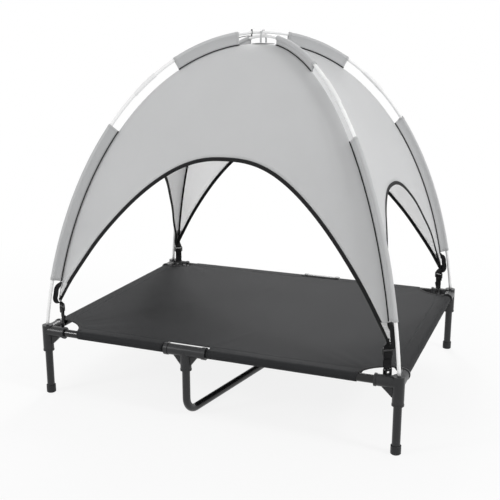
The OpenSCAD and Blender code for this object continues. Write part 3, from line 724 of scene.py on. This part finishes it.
# ---------------------------------------------------------------- poles, ferrules and tips
for corner in CORNERS:
    crown = OVER if CORNERS[corner][0] * CORNERS[corner][1] > 0 else UNDER
    t_joint = t_at_r(JOINT_R)
    ts = np.linspace(0, t_joint, 70)
    a = [outward(corner, t, crown) for t in ts]
    b = [sideways(corner)] * len(ts)
    rod = tube(f"pole_arm_{corner}", [in_plane(corner, pole_at(t, crown)) for t in ts], a, b, POLE_R, POLE,
               "canopy", 20)
    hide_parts(f"pole_lower_{corner}")
    mid = np.interp(t_joint, T_TABLE, ARC_TABLE)
    along = np.concatenate([[-0.044, -0.044, -0.0432], np.linspace(-0.042, 0.042, 13),
                            [0.0432, 0.044, 0.044]])
    radii = np.concatenate([[0.0057, 0.0064, 0.0070], [0.0071] * 13, [0.0070, 0.0064, 0.0057]])
    ts = np.interp(mid + along, ARC_TABLE, T_TABLE)
    cover = tube(f"ferrule_{corner}", [in_plane(corner, pole_at(t, crown)) for t in ts],
                 [outward(corner, t, crown) for t in ts], [sideways(corner)] * len(ts),
                 radii, FERRULE, "canopy", 24)
    if corner == "fl":
        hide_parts("pole_ferrules")
for name, corner, crown in (("over", "br", OVER), ("under", "fr", UNDER)):
    c = CORNERS[corner]
    t_joint = t_at_r(JOINT_R)
    ts = np.linspace(t_joint, 1, 40)
    pts, a = [], []
    for t in ts:
        pts.append(in_plane((-c[0], -c[1]), pole_at(t, crown)))
        a.append(outward((-c[0], -c[1]), t, crown))
    for t in ts[-2::-1]:
        pts.append(in_plane(c, pole_at(t, crown)))
        a.append(outward(c, t, crown))
    rod = tube(f"pole_middle_{name}", pts, a, [sideways((-c[0], -c[1]))] * len(pts), POLE_R, POLE,
               "canopy", 20)
    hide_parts(f"pole_centre_{name}")
for corner in CORNERS:
    c = CORNERS[corner]
    zs = [0.2125, 0.2125, 0.2135, 0.2305, 0.2405, 0.2405]
    rs = [0.0001, 0.0045, 0.0054, 0.0054, 0.0054, 0.0001]
    pts = [np.array([c[0] * HALF_DIAG, c[1] * HALF_DIAG, z]) for z in zs]
    tip = tube(f"pole_tip_{corner}", pts, [np.array([1.0, 0, 0])] * len(zs),
               [np.array([0, 1.0, 0])] * len(zs), rs, TRIM, "canopy", 20, cap=False)
    if corner == "fl":
        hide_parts("pole_tips")

# ---------------------------------------------------------------- sling: taut, with a sleeve round each rail
CUT_R, CUT_X, CUT_Y = 0.112, 0.010, 0.032
TEE_X, TEE_HALF, TEE_DEEP = 0.079, 0.076, 0.0245
TOP_Z = RAIL_Z + 0.0141
WRAP_R = 0.0143
LONG_END = HALF_X - CUT_X - math.sqrt(CUT_R ** 2 - CUT_Y ** 2)
SHORT_END = HALF_Y + CUT_Y - math.sqrt(CUT_R ** 2 - CUT_X ** 2)


def sling_z(x, y):
    flat = TOP_Z - 0.0075 * (1 - (x / HALF_X) ** 2) * (1 - (y / HALF_Y) ** 2)
    edge = smooth(min(HALF_X - abs(x), HALF_Y - abs(y)) / 0.05)
    soft_fold = 0.0012 * noise.noise(Vector((x * 5, y * 5, 1.3)))
    crease = 0.0
    for sx in (-1, 1):
        for sy in (-1, 1):
            dx, dy = sx * (HALF_X - CUT_X) - x, sy * (HALF_Y + CUT_Y) - y
            d = math.hypot(dx, dy) - CUT_R
            if d < 0.30:
                a = math.atan2(dy, dx)
                crease += 0.0011 * math.sin(a * 26 + 5
                                            * noise.noise(Vector((a * 3, sx, sy)))) * math.exp(-max(d,
                                                    0) / 0.10) * smooth(d / 0.05)
    for s in (-1, 1):
        ax, ay = s * x - 0.020, s * y - 0.432
        along = -ax * 0.42 - ay * 0.907
        across = -ax * 0.907 + ay * 0.42
        fade_out = smooth(along / 0.03) * (1 - smooth((along - 0.16) / 0.2))
        crease += 0.0011 * math.exp(-(across / 0.006) ** 2) * fade_out
    hem = sum(math.exp(-((half - abs(v) - 0.030) / 0.0035) ** 2) for half, v in ((HALF_X, x), (HALF_Y, y)))
    rib = 0.0006 * noise.noise(Vector((x * 45, y * 45,
                                       0.4))) * (1 - smooth((min(HALF_X - abs(x),
                                               HALF_Y - abs(y)) - 0.03) / 0.05))
    return flat + edge * (soft_fold + crease + rib) - 0.0007 * hem * edge


def bite(sx, sy):
    """Points along a corner's cut, from the long rail to the short one."""
    cx, cy = HALF_X - CUT_X, HALF_Y + CUT_Y
    a0 = math.atan2(HALF_Y - cy, LONG_END - cx)
    a1 = math.atan2(SHORT_END - cy, HALF_X - cx)
    if a0 > 0:
        a0 -= 2 * math.pi
    pts = [(cx + CUT_R * math.cos(a), cy + CUT_R * math.sin(a)) for a in np.linspace(a0, a1, 33)]
    return [(sx * x, sy * y) for x, y in pts]


def line(a, b, pitch=0.012):
    n = max(1, int(round(math.hypot(b[0] - a[0], b[1] - a[1]) / pitch)))
    return [(a[0] + (b[0] - a[0]) * k / n, a[1] + (b[1] - a[1]) * k / n) for k in range(n + 1)]


def notch(s):
    """The cut beside a tee: s is -1 in front and 1 at the back. Listed in the boundary's own direction."""
    x0, x1 = s * (TEE_X + TEE_HALF), s * (TEE_X - TEE_HALF)
    y0, y1 = s * HALF_Y, s * (HALF_Y - TEE_DEEP)
    r = 0.008
    pts = [(x0, y0), (x0, y1 + s * r)]
    sx = -s
    pts += [(x0 + sx * r * (1 - math.cos(a)), y1 + s * r * (1 - math.sin(a)))
            for a in np.radians([22, 45, 68, 90])]
    pts += [(x1 - sx * r * (1 - math.cos(a)), y1 + s * r * (1 - math.sin(a)))
            for a in np.radians([90, 68, 45, 22])]
    pts += [(x1, y1 + s * r), (x1, y0)]
    return pts


front_cut, back_cut = notch(-1), notch(1)
loop = []
loop += line((-LONG_END, -HALF_Y), front_cut[0])[:-1] + front_cut[:-1] + line(front_cut[-1],
        (LONG_END, -HALF_Y))[:-1]
loop += bite(1, -1)[:-1] + line((HALF_X, -SHORT_END), (HALF_X, SHORT_END))[:-1] + bite(1, 1)[::-1][:-1]
loop += line((LONG_END, HALF_Y), back_cut[0])[:-1] + back_cut[:-1] + line(back_cut[-1],
        (-LONG_END, HALF_Y))[:-1]
loop += bite(-1, 1)[:-1] + line((-HALF_X, SHORT_END), (-HALF_X, -SHORT_END))[:-1] + bite(-1, -1)[::-1][:-1]
loop = [(float(a), float(b)) for a, b in loop]
xs = sorted(set(np.round(np.concatenate([np.arange(-0.576, 0.577, 0.012),
                                         [-0.564, -0.5565, -0.5600, 0.5565, 0.5600, 0.564]]), 4)))
ys = sorted(set(np.round(np.concatenate([np.arange(-0.444, 0.445, 0.012),
                                         [-0.4335, -0.4300, -0.4265, 0.4265, 0.4300, 0.4335]]), 4)))


def inside(x, y):
    if abs(x) > HALF_X - 0.006 or abs(y) > HALF_Y - 0.006:
        return False
    if math.hypot(abs(x) - (HALF_X - CUT_X), abs(y) - (HALF_Y + CUT_Y)) < CUT_R + 0.005:
        return False
    for s in (-1, 1):
        if abs(x - s * TEE_X) < TEE_HALF + 0.005 and s * y > HALF_Y - TEE_DEEP - 0.005:
            return False
    return True


inner = [(float(x), float(y)) for x in xs for y in ys if inside(x, y)]
points = [Vector(p) for p in loop + inner]
ring = [(i, (i + 1) % len(loop)) for i in range(len(loop))]
flat_pts, _, tris, *_ = delaunay_2d_cdt(points, ring, [], 1, 1e-6)
verts = [(p.x, p.y, sling_z(p.x, p.y)) for p in flat_pts]
uvs = [(p.x, p.y) for p in flat_pts]
faces = [tuple(t) for t in tris]
flat_xy = np.array([(p.x, p.y) for p in flat_pts])
WRAP = []
for a in np.radians(np.linspace(90, -118, 20)):
    WRAP.append((WRAP_R * math.cos(a), WRAP_R * math.sin(a), WRAP_R * (math.pi / 2 - a)))
last = WRAP[-1]
for k in range(1, 6):
    u = k / 5
    x, z = last[0] + (-0.0300 - last[0]) * u, last[1] + (0.0118 - last[1]) * u
    WRAP.append((x, z, last[2] + math.hypot(x - last[0], z - last[1])))


def wrap_strip(origin, along, out, start, stop, ends):
    """A sleeve round one rail: out is the way out of the bed, ends says how each end is cut."""
    nodes = [p for p in loop if abs((p[0] - origin[0]) * out[0] + (p[1] - origin[1]) * out[1]) < 1e-6]
    spots = sorted({round((p[0] - origin[0]) * along[0] + (p[1] - origin[1]) * along[1], 6) for p in nodes})
    spots = [s for s in spots if start - 1e-5 <= s <= stop + 1e-5]
    rows = []
    for k, (d, h, run) in enumerate(WRAP):
        lo, hi = ends[0](run), ends[1](run)
        row = []
        for s in spots:
            pos = s + (lo - spots[0]) * math.exp(-((s - spots[0]) / 0.03) ** 2)
            pos += (hi - spots[-1]) * math.exp(-((s - spots[-1]) / 0.03) ** 2)
            x, y = origin[0] + along[0] * pos + out[0] * d, origin[1] + along[1] * pos + out[1] * d
            wob = 0.00045 * noise.noise(Vector((pos * 22, run * 30,
                    origin[0] + origin[1]))) * smooth(run / 0.01)
            if k == 0:
                spot = np.array([origin[0] + along[0] * s, origin[1] + along[1] * s])
                row.append(int(np.argmin(np.abs(flat_xy - spot).sum(1))))
                continue
            verts.append((x + out[0] * wob, y + out[1] * wob,
                          RAIL_Z + h + (TOP_Z - RAIL_Z - WRAP_R) * (1 if k < 3 else 0)))
            uvs.append((pos if abs(along[0]) > 0.5 else x + out[0] * run,
                        origin[1] + out[1] * run if abs(along[0]) > 0.5 else pos))
            row.append(len(verts) - 1)
        rows.append(row)
    for i in range(len(rows) - 1):
        for j in range(len(spots) - 1):
            quad = (rows[i][j], rows[i + 1][j], rows[i + 1][j + 1], rows[i][j + 1])
            faces.append(quad)


def long_cut(run):
    return CUT_X + math.sqrt(max(CUT_R ** 2 - (CUT_Y - run) ** 2, 0))


def short_cut(run):
    return max(math.sqrt(max(CUT_R ** 2 - (CUT_X + run) ** 2, 0)) - CUT_Y, 0.0765)


for s in (-1, 1):
    o, al = (0.0, s * HALF_Y), (-s * 1.0, 0.0)
    out = (0.0, float(s))
    # the way along turns round at the back, so that both sides are the same piece, half a turn apart
    wrap_strip(o, al, out, -LONG_END, -(TEE_X + TEE_HALF),
               (lambda r: -(HALF_X - long_cut(r)), lambda r: -(TEE_X + TEE_HALF)))
    wrap_strip(o, al, out, -(TEE_X - TEE_HALF), LONG_END,
               (lambda r: -(TEE_X - TEE_HALF), lambda r: HALF_X - long_cut(r)))
    wrap_strip((s * HALF_X, 0.0), (0.0, s * 1.0), (float(s), 0.0), -SHORT_END, SHORT_END,
               (lambda r: -(HALF_Y - short_cut(r)), lambda r: HALF_Y - short_cut(r)))
sling = add_mesh("sling_sheet", verts, faces, SLING, "bed_frame", uvs)
thicken(sling, SLING_T)
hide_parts("sling")

# Bound edges of the four corner cuts
for sx in (-1, 1):
    for sy in (-1, 1):
        tag = ("f" if sy < 0 else "b") + ("l" if sx < 0 else "r")
        pts = resample(np.array(bite(sx, sy)), 60)
        path, wide, thick = [], [], []
        for k, (x, y) in enumerate(pts):
            a, b = pts[max(k - 1, 0)], pts[min(k + 1, len(pts) - 1)]
            run = unit(np.array([b[0] - a[0], b[1] - a[1], 0]))
            cut = unit(np.array([sx * (HALF_X - CUT_X) - x, sy * (HALF_Y + CUT_Y) - y, 0]))
            droop = 0.0 if min(k, len(pts) - 1 - k) > 3 else -0.0004
            path.append(np.array([x, y, sling_z(x, y) - 0.0007 + droop]) - cut * 0.0035)
            wide.append(cut)
            thick.append(np.array([0, 0, 1.0]))
        tape = ribbon(f"sling_binding_{tag}", path, wide, thick, 0.0105, 0.0032, BIND, "bed_frame")

rows = []
up = np.array([0, 0, 1.0])


def top_row(a, b):
    pts = [(x, y) for x, y in line(a, b, 0.004) if inside(x, y)]
    if len(pts) > 2:
        rows.append(([np.array([x, y, sling_z(x, y) + 0.0002]) for x, y in pts], [up] * len(pts)))


for s in (-1, 1):
    for inset in (0.0290, 0.0330):
        top_row((-0.56, s * (HALF_Y - inset)), (s * TEE_X - TEE_HALF, s * (HALF_Y - inset)))
        top_row((s * TEE_X - TEE_HALF, s * (HALF_Y - inset)), (s * TEE_X + TEE_HALF, s * (HALF_Y - inset)))
        top_row((s * TEE_X + TEE_HALF, s * (HALF_Y - inset)), (0.56, s * (HALF_Y - inset)))
        top_row((s * (HALF_X - inset), -0.44), (s * (HALF_X - inset), 0.44))
stitches("sling_hem_stitches", rows, THREAD_DARK, "bed_frame", 0.0045, 0.0032, 0.00042)
cut_rows = []
for sx in (-1, 1):
    for sy in (-1, 1):
        pts = [(x, y) for x, y in resample(np.array(bite(sx, sy)), 60)]
        c = (sx * (HALF_X - CUT_X), sy * (HALF_Y + CUT_Y))
        line3 = []
        for x, y in pts[1:-1]:
            cut = unit(np.array([c[0] - x, c[1] - y, 0]))
            line3.append(np.array([x, y, sling_z(x, y) + 0.00100]) - cut * 0.0066)
        cut_rows.append((line3, [up] * len(line3)))
stitches("sling_binding_stitches", cut_rows, THREAD_DARK, "bed_frame", 0.0040, 0.0029,
                         0.00040)

# ---------------------------------------------------------------- straps, buckles, hooks and loops
def plate(name, width, height, depth, holes, mat, corner=0.003, bevel=0.0008):
    """Moulded plate with rounded corners and holes, drawn in its own plane and left there as a mesh."""
    data = bpy.data.curves.new(name, "CURVE")
    data.dimensions = "2D"
    data.fill_mode = "BOTH"
    data.extrude = depth / 2 - bevel
    data.bevel_depth = bevel
    data.bevel_resolution = 2

    def outline(cx, cy, w, h, r):
        pts = []
        for qx, qy, a0 in ((1, 1, 0), (-1, 1, 90), (-1, -1, 180), (1, -1, 270)):
            for a in np.radians(np.linspace(a0, a0 + 90, 5)):
                pts.append((cx + qx * (w / 2 - r) + r * math.cos(a), cy + qy * (h / 2 - r) + r * math.sin(a)))
        sp = data.splines.new("POLY")
        sp.points.add(len(pts) - 1)
        for p, (x, y) in zip(sp.points, pts):
            p.co = (x, y, 0, 1)
        sp.use_cyclic_u = True

    outline(0, 0, width - 2 * bevel, height - 2 * bevel, corner)
    for cx, cy, w, h in holes:
        outline(cx, cy, w + 2 * bevel, h + 2 * bevel, 0.0014)
    holder = bpy.data.objects.new(name + "_curve", data)
    bpy.context.collection.objects.link(holder)
    mesh = bpy.data.meshes.new_from_object(holder)
    bpy.data.objects.remove(holder)
    bpy.data.curves.remove(data)
    mesh.name = name
    obj = bpy.data.objects.new(name, mesh)
    mesh.materials.clear()
    mesh.materials.append(mat)
    mesh.polygons.foreach_set("use_smooth", [False] * len(mesh.polygons))
    return obj


def stand_plate(obj, centre, across, face, body):
    """Stands a plate upright at a place: across is the way its width runs, face the way it looks."""
    co = np.zeros(len(obj.data.vertices) * 3)
    obj.data.vertices.foreach_get("co", co)
    co = co.reshape(-1, 3)
    placed = centre + co[:, :1] * across + co[:, 1:2] * np.array([0, 0, 1.0]) + co[:, 2:3] * face
    obj.data.vertices.foreach_set("co", placed.ravel())
    obj.data.update()
    bpy.context.collection.objects.link(obj)
    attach(obj, body)
    return obj


strap_lo, strap_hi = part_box("strap_fl")
STRAP_R = -(strap_lo.x + strap_hi.x) / 2 / SHARE_X
lock_lo, lock_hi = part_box("ladder_locks")
hook_lo, hook_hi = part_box("strap_hooks")
LOCK_Z, HOOK_Z = (lock_lo.z + lock_hi.z) / 2, (hook_lo.z + hook_hi.z) / 2
LOCK_R, HOOK_R = STRAP_R + 0.0037, STRAP_R + 0.0030
SLOT_Z, BAR_Z = HOOK_Z + 0.0072, LOCK_Z - 0.0048
STRAP_TURN = 0.38
LOOP_TURN = 1.2


def strap_turn(z):
    """How far a strap has turned at a height: nothing at the hook and at the cloth, all at the buckle."""
    rise = smooth((z - SLOT_Z) / (0.45 * (LOCK_Z - SLOT_Z)))
    fall = smooth((z - LOCK_Z - 0.010) / max(CORNER_Z - LOCK_Z - 0.010, 0.006))
    return STRAP_TURN * rise * (1 - fall)


def corner_frame(corner, turn=0.0):
    """Across and away directions at a corner, turned about the upright. Straps face the bed's long sides."""
    c = CORNERS[corner]
    w = turn if c[0] * c[1] < 0 else -turn
    side, away = sideways(corner), plane_dir(corner, (1.0, 0.0))
    return side * math.cos(w) + away * math.sin(w), away * math.cos(w) - side * math.sin(w)


def hanging_web(name, corner, pts, width, depth):
    """Webbing that hangs at a corner and turns about the strap's axis on its way up."""
    path = rounded(pts, 44)
    centres, wide, thick = [], [], []
    for k, p in enumerate(path):
        a, b = path[max(k - 1, 0)], path[min(k + 1, len(path) - 1)]
        across, away = corner_frame(corner, strap_turn(p[1]))
        run = unit(away * (b[0] - a[0]) + np.array([0, 0, b[1] - a[1]]))
        centres.append(in_plane(corner, (STRAP_R, p[1])) + away * (p[0] - STRAP_R))
        wide.append(across)
        thick.append(unit(np.cross(across, run)))
    return ribbon(name, centres, wide, thick, width, depth, WEB, "canopy")


def twisted_web(name, corner, pts, width, depth, twist):
    """Webbing in a corner's upright plane, sewn flat at both ends and twisted edge-on between them."""
    path = rounded(pts, 60)
    side = corner_frame(corner)[0]
    c = CORNERS[corner]
    sense = 1.0 if c[0] * c[1] < 0 else -1.0
    wide, thick = [], []
    for k in range(len(path)):
        a, b = path[max(k - 1, 0)], path[min(k + 1, len(path) - 1)]
        n = plane_dir(corner, out_of(unit(b - a)))
        w = sense * twist * smooth(4.0 * min(k, len(path) - 1 - k) / (len(path) - 1))
        wide.append(side * math.cos(w) + n * math.sin(w))
        thick.append(n * math.cos(w) - side * math.sin(w))
    return ribbon(name, [in_plane(corner, p) for p in path], wide, thick, width, depth, WEB, "canopy")


def pole_r(z):
    line_z = pole_at(T_TABLE)
    return float(np.interp(z, line_z[:, 1], line_z[:, 0]))


def ridge_r(z):
    return float(np.interp(z, RIDGE_TABLE[:, 1], RIDGE_TABLE[:, 0]))


for corner in CORNERS:
    across, away = corner_frame(corner, STRAP_TURN)
    lock = plate(f"ladder_lock_{corner}", 0.033, 0.022, 0.0046,
                 [(0, 0.0058, 0.0255, 0.0048), (0, -0.0048, 0.0255, 0.0050)], TRIM)
    stand_plate(lock, in_plane(corner, (STRAP_R, LOCK_Z)) + away * (LOCK_R - STRAP_R), across, away,
                "canopy")
    across, away = corner_frame(corner)
    hook = plate(f"strap_hook_{corner}", 0.031, 0.026, 0.0034,
                 [(0, 0.0072, 0.0255, 0.0046), (0.0, -0.0040, 0.0150, 0.0070)], TRIM, 0.004)
    stand_plate(hook, in_plane(corner, (HOOK_R, HOOK_Z)), across, away, "canopy")
    strap = hanging_web(f"strap_web_{corner}", corner, [
        (STRAP_R - 0.0012, BAR_Z - 0.0240), (STRAP_R - 0.0004, SLOT_Z + 0.016), (STRAP_R + 0.0004,
                SLOT_Z + 0.0045),
        (HOOK_R + 0.0004, SLOT_Z - 0.0002), (HOOK_R + 0.0032, SLOT_Z + 0.0040), (HOOK_R + 0.0014,
                SLOT_Z + 0.0140),
        (STRAP_R + 0.0026, BAR_Z - 0.0080), (STRAP_R + 0.0010, BAR_Z - 0.0032), (LOCK_R, BAR_Z + 0.0008),
        (LOCK_R + 0.0040, BAR_Z + 0.0034), (LOCK_R + 0.0040, BAR_Z - 0.0040), (LOCK_R + 0.0036,
                BAR_Z - 0.016)], STRAP_W, 0.0015)
    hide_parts(f"strap_{corner}")
    hanging_web(f"lock_web_{corner}", corner, [
        (CORNER_R - 0.0040, CORNER_Z + 0.016), (CORNER_R - 0.0036, CORNER_Z + 0.002), (STRAP_R + 0.0016,
                LOCK_Z + 0.0150),
        (STRAP_R + 0.0005, LOCK_Z + 0.0085), (LOCK_R, LOCK_Z + 0.0052), (LOCK_R + 0.0040, LOCK_Z + 0.0090),
        (STRAP_R + 0.0062, LOCK_Z + 0.0150), (CORNER_R - 0.0012, CORNER_Z - 0.001)], STRAP_W, 0.0013)
    middle = [(pole_r(z) - 0.0178, z) for z in (CORNER_Z + 0.004, CORNER_Z + 0.022, CORNER_Z + 0.040)]
    loop_web = twisted_web(f"corner_loop_{corner}", corner, [
        (STRAP_R + 0.004, CORNER_Z - 0.011), (CORNER_R + 0.006, CORNER_Z - 0.0075), *middle,
        (ridge_r(CORNER_Z + 0.055) + 0.0045, CORNER_Z + 0.055), (ridge_r(0.3835) + 0.0022,
                0.3835)], 0.0165, 0.0034, LOOP_TURN)
    if corner == "fl":
        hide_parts("ladder_locks")
        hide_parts("strap_hooks")
        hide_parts("corner_loops")

# ---------------------------------------------------------------- crown
verts, faces, uvs = [], [], []
n = 15
for i in range(n):
    for j in range(n):
        u, v = 2 * i / (n - 1) - 1, 2 * j / (n - 1) - 1
        x, y = u * math.sqrt(1 - 0.12 * v * v) * 0.032, v * math.sqrt(1 - 0.12 * u * u) * 0.030
        r = math.hypot(x, y)
        z = CROWN - RIDGE_GAP + 0.0016 - 1.1 * r * r + 0.0004 * noise.noise(Vector((x * 90, y * 90, 2)))
        verts.append((x, y, z))
        uvs.append((x, y))
crown_patch = add_mesh("crown_cloth", verts, grid_faces(n, n), SLEEVE, "canopy", uvs)
thicken(crown_patch, SLEEVE_T)
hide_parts("crown_patch")
span = [(-0.0245, CROWN - RIDGE_GAP + 0.002), (-0.0240, CROWN - 0.014), (-0.0185, CROWN + 0.004),
        (-0.0075, OVER + POLE_R + 0.0002),
        (0.0, OVER + POLE_R + 0.0012), (0.0075, OVER + POLE_R + 0.0002), (0.0185, CROWN + 0.004), (0.0240,
                CROWN - 0.014), (0.0245, CROWN - RIDGE_GAP + 0.002)]
path2 = rounded(span, 44)
centres = [np.array([0, p[0], p[1]]) for p in path2]
thick = []
for k in range(len(path2)):
    a, b = path2[max(k - 1, 0)], path2[min(k + 1, len(path2) - 1)]
    o = out_of(unit(b - a))
    thick.append(np.array([0, o[0], o[1]]))
tie = ribbon("crown_band", centres, [np.array([1.0, 0, 0])] * len(centres), thick, 0.0065, 0.0013, SLEEVE,
             "canopy")
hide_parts("crown_tie")


def crown_cord(corner):
    """Thin black tie from the sleeve's end to a turn and two knots round the upper pole."""
    def beside(r, side, above):
        line = pole_at(T_TABLE, OVER)
        return in_plane(corner, (r, float(np.interp(-r, -line[:, 0], line[:, 1])) + above), side)

    pts = [beside(*p) for p in (
        (0.088, 0.0, -0.0125), (0.072, 0.001, -0.0105), (0.054, 0.0, -0.0100), (0.0430, 0.002, -0.0110),
        (0.0405, 0.0078, -0.0020), (0.0400, 0.0, 0.0078), (0.0395, -0.0078, -0.0020), (0.0400, -0.002,
                -0.0115))]
    path = rounded(pts, 90)
    s = arc_lengths(path)
    knots = [s[int(np.argmin(np.linalg.norm(path - p, axis=1)))] for p in (pts[5], pts[-1])]
    radii = [0.0012 + sum(0.0020 * math.exp(-((x - k) / 0.0028) ** 2) for k in knots) for x in s]
    a, b = [], []
    across = corner_frame(corner)[0]
    for k in range(len(path)):
        run = unit(path[min(k + 1, len(path) - 1)] - path[max(k - 1, 0)])
        first = unit(np.cross(run, across + 0.31 * np.array([0, 0, 1.0])))
        a.append(first)
        b.append(np.cross(run, first))
    tube(f"crown_cord_{corner}", path, a, b, radii, TRIM, "canopy", 10)


crown_cord("fl")
on_canopy += [crown_patch]
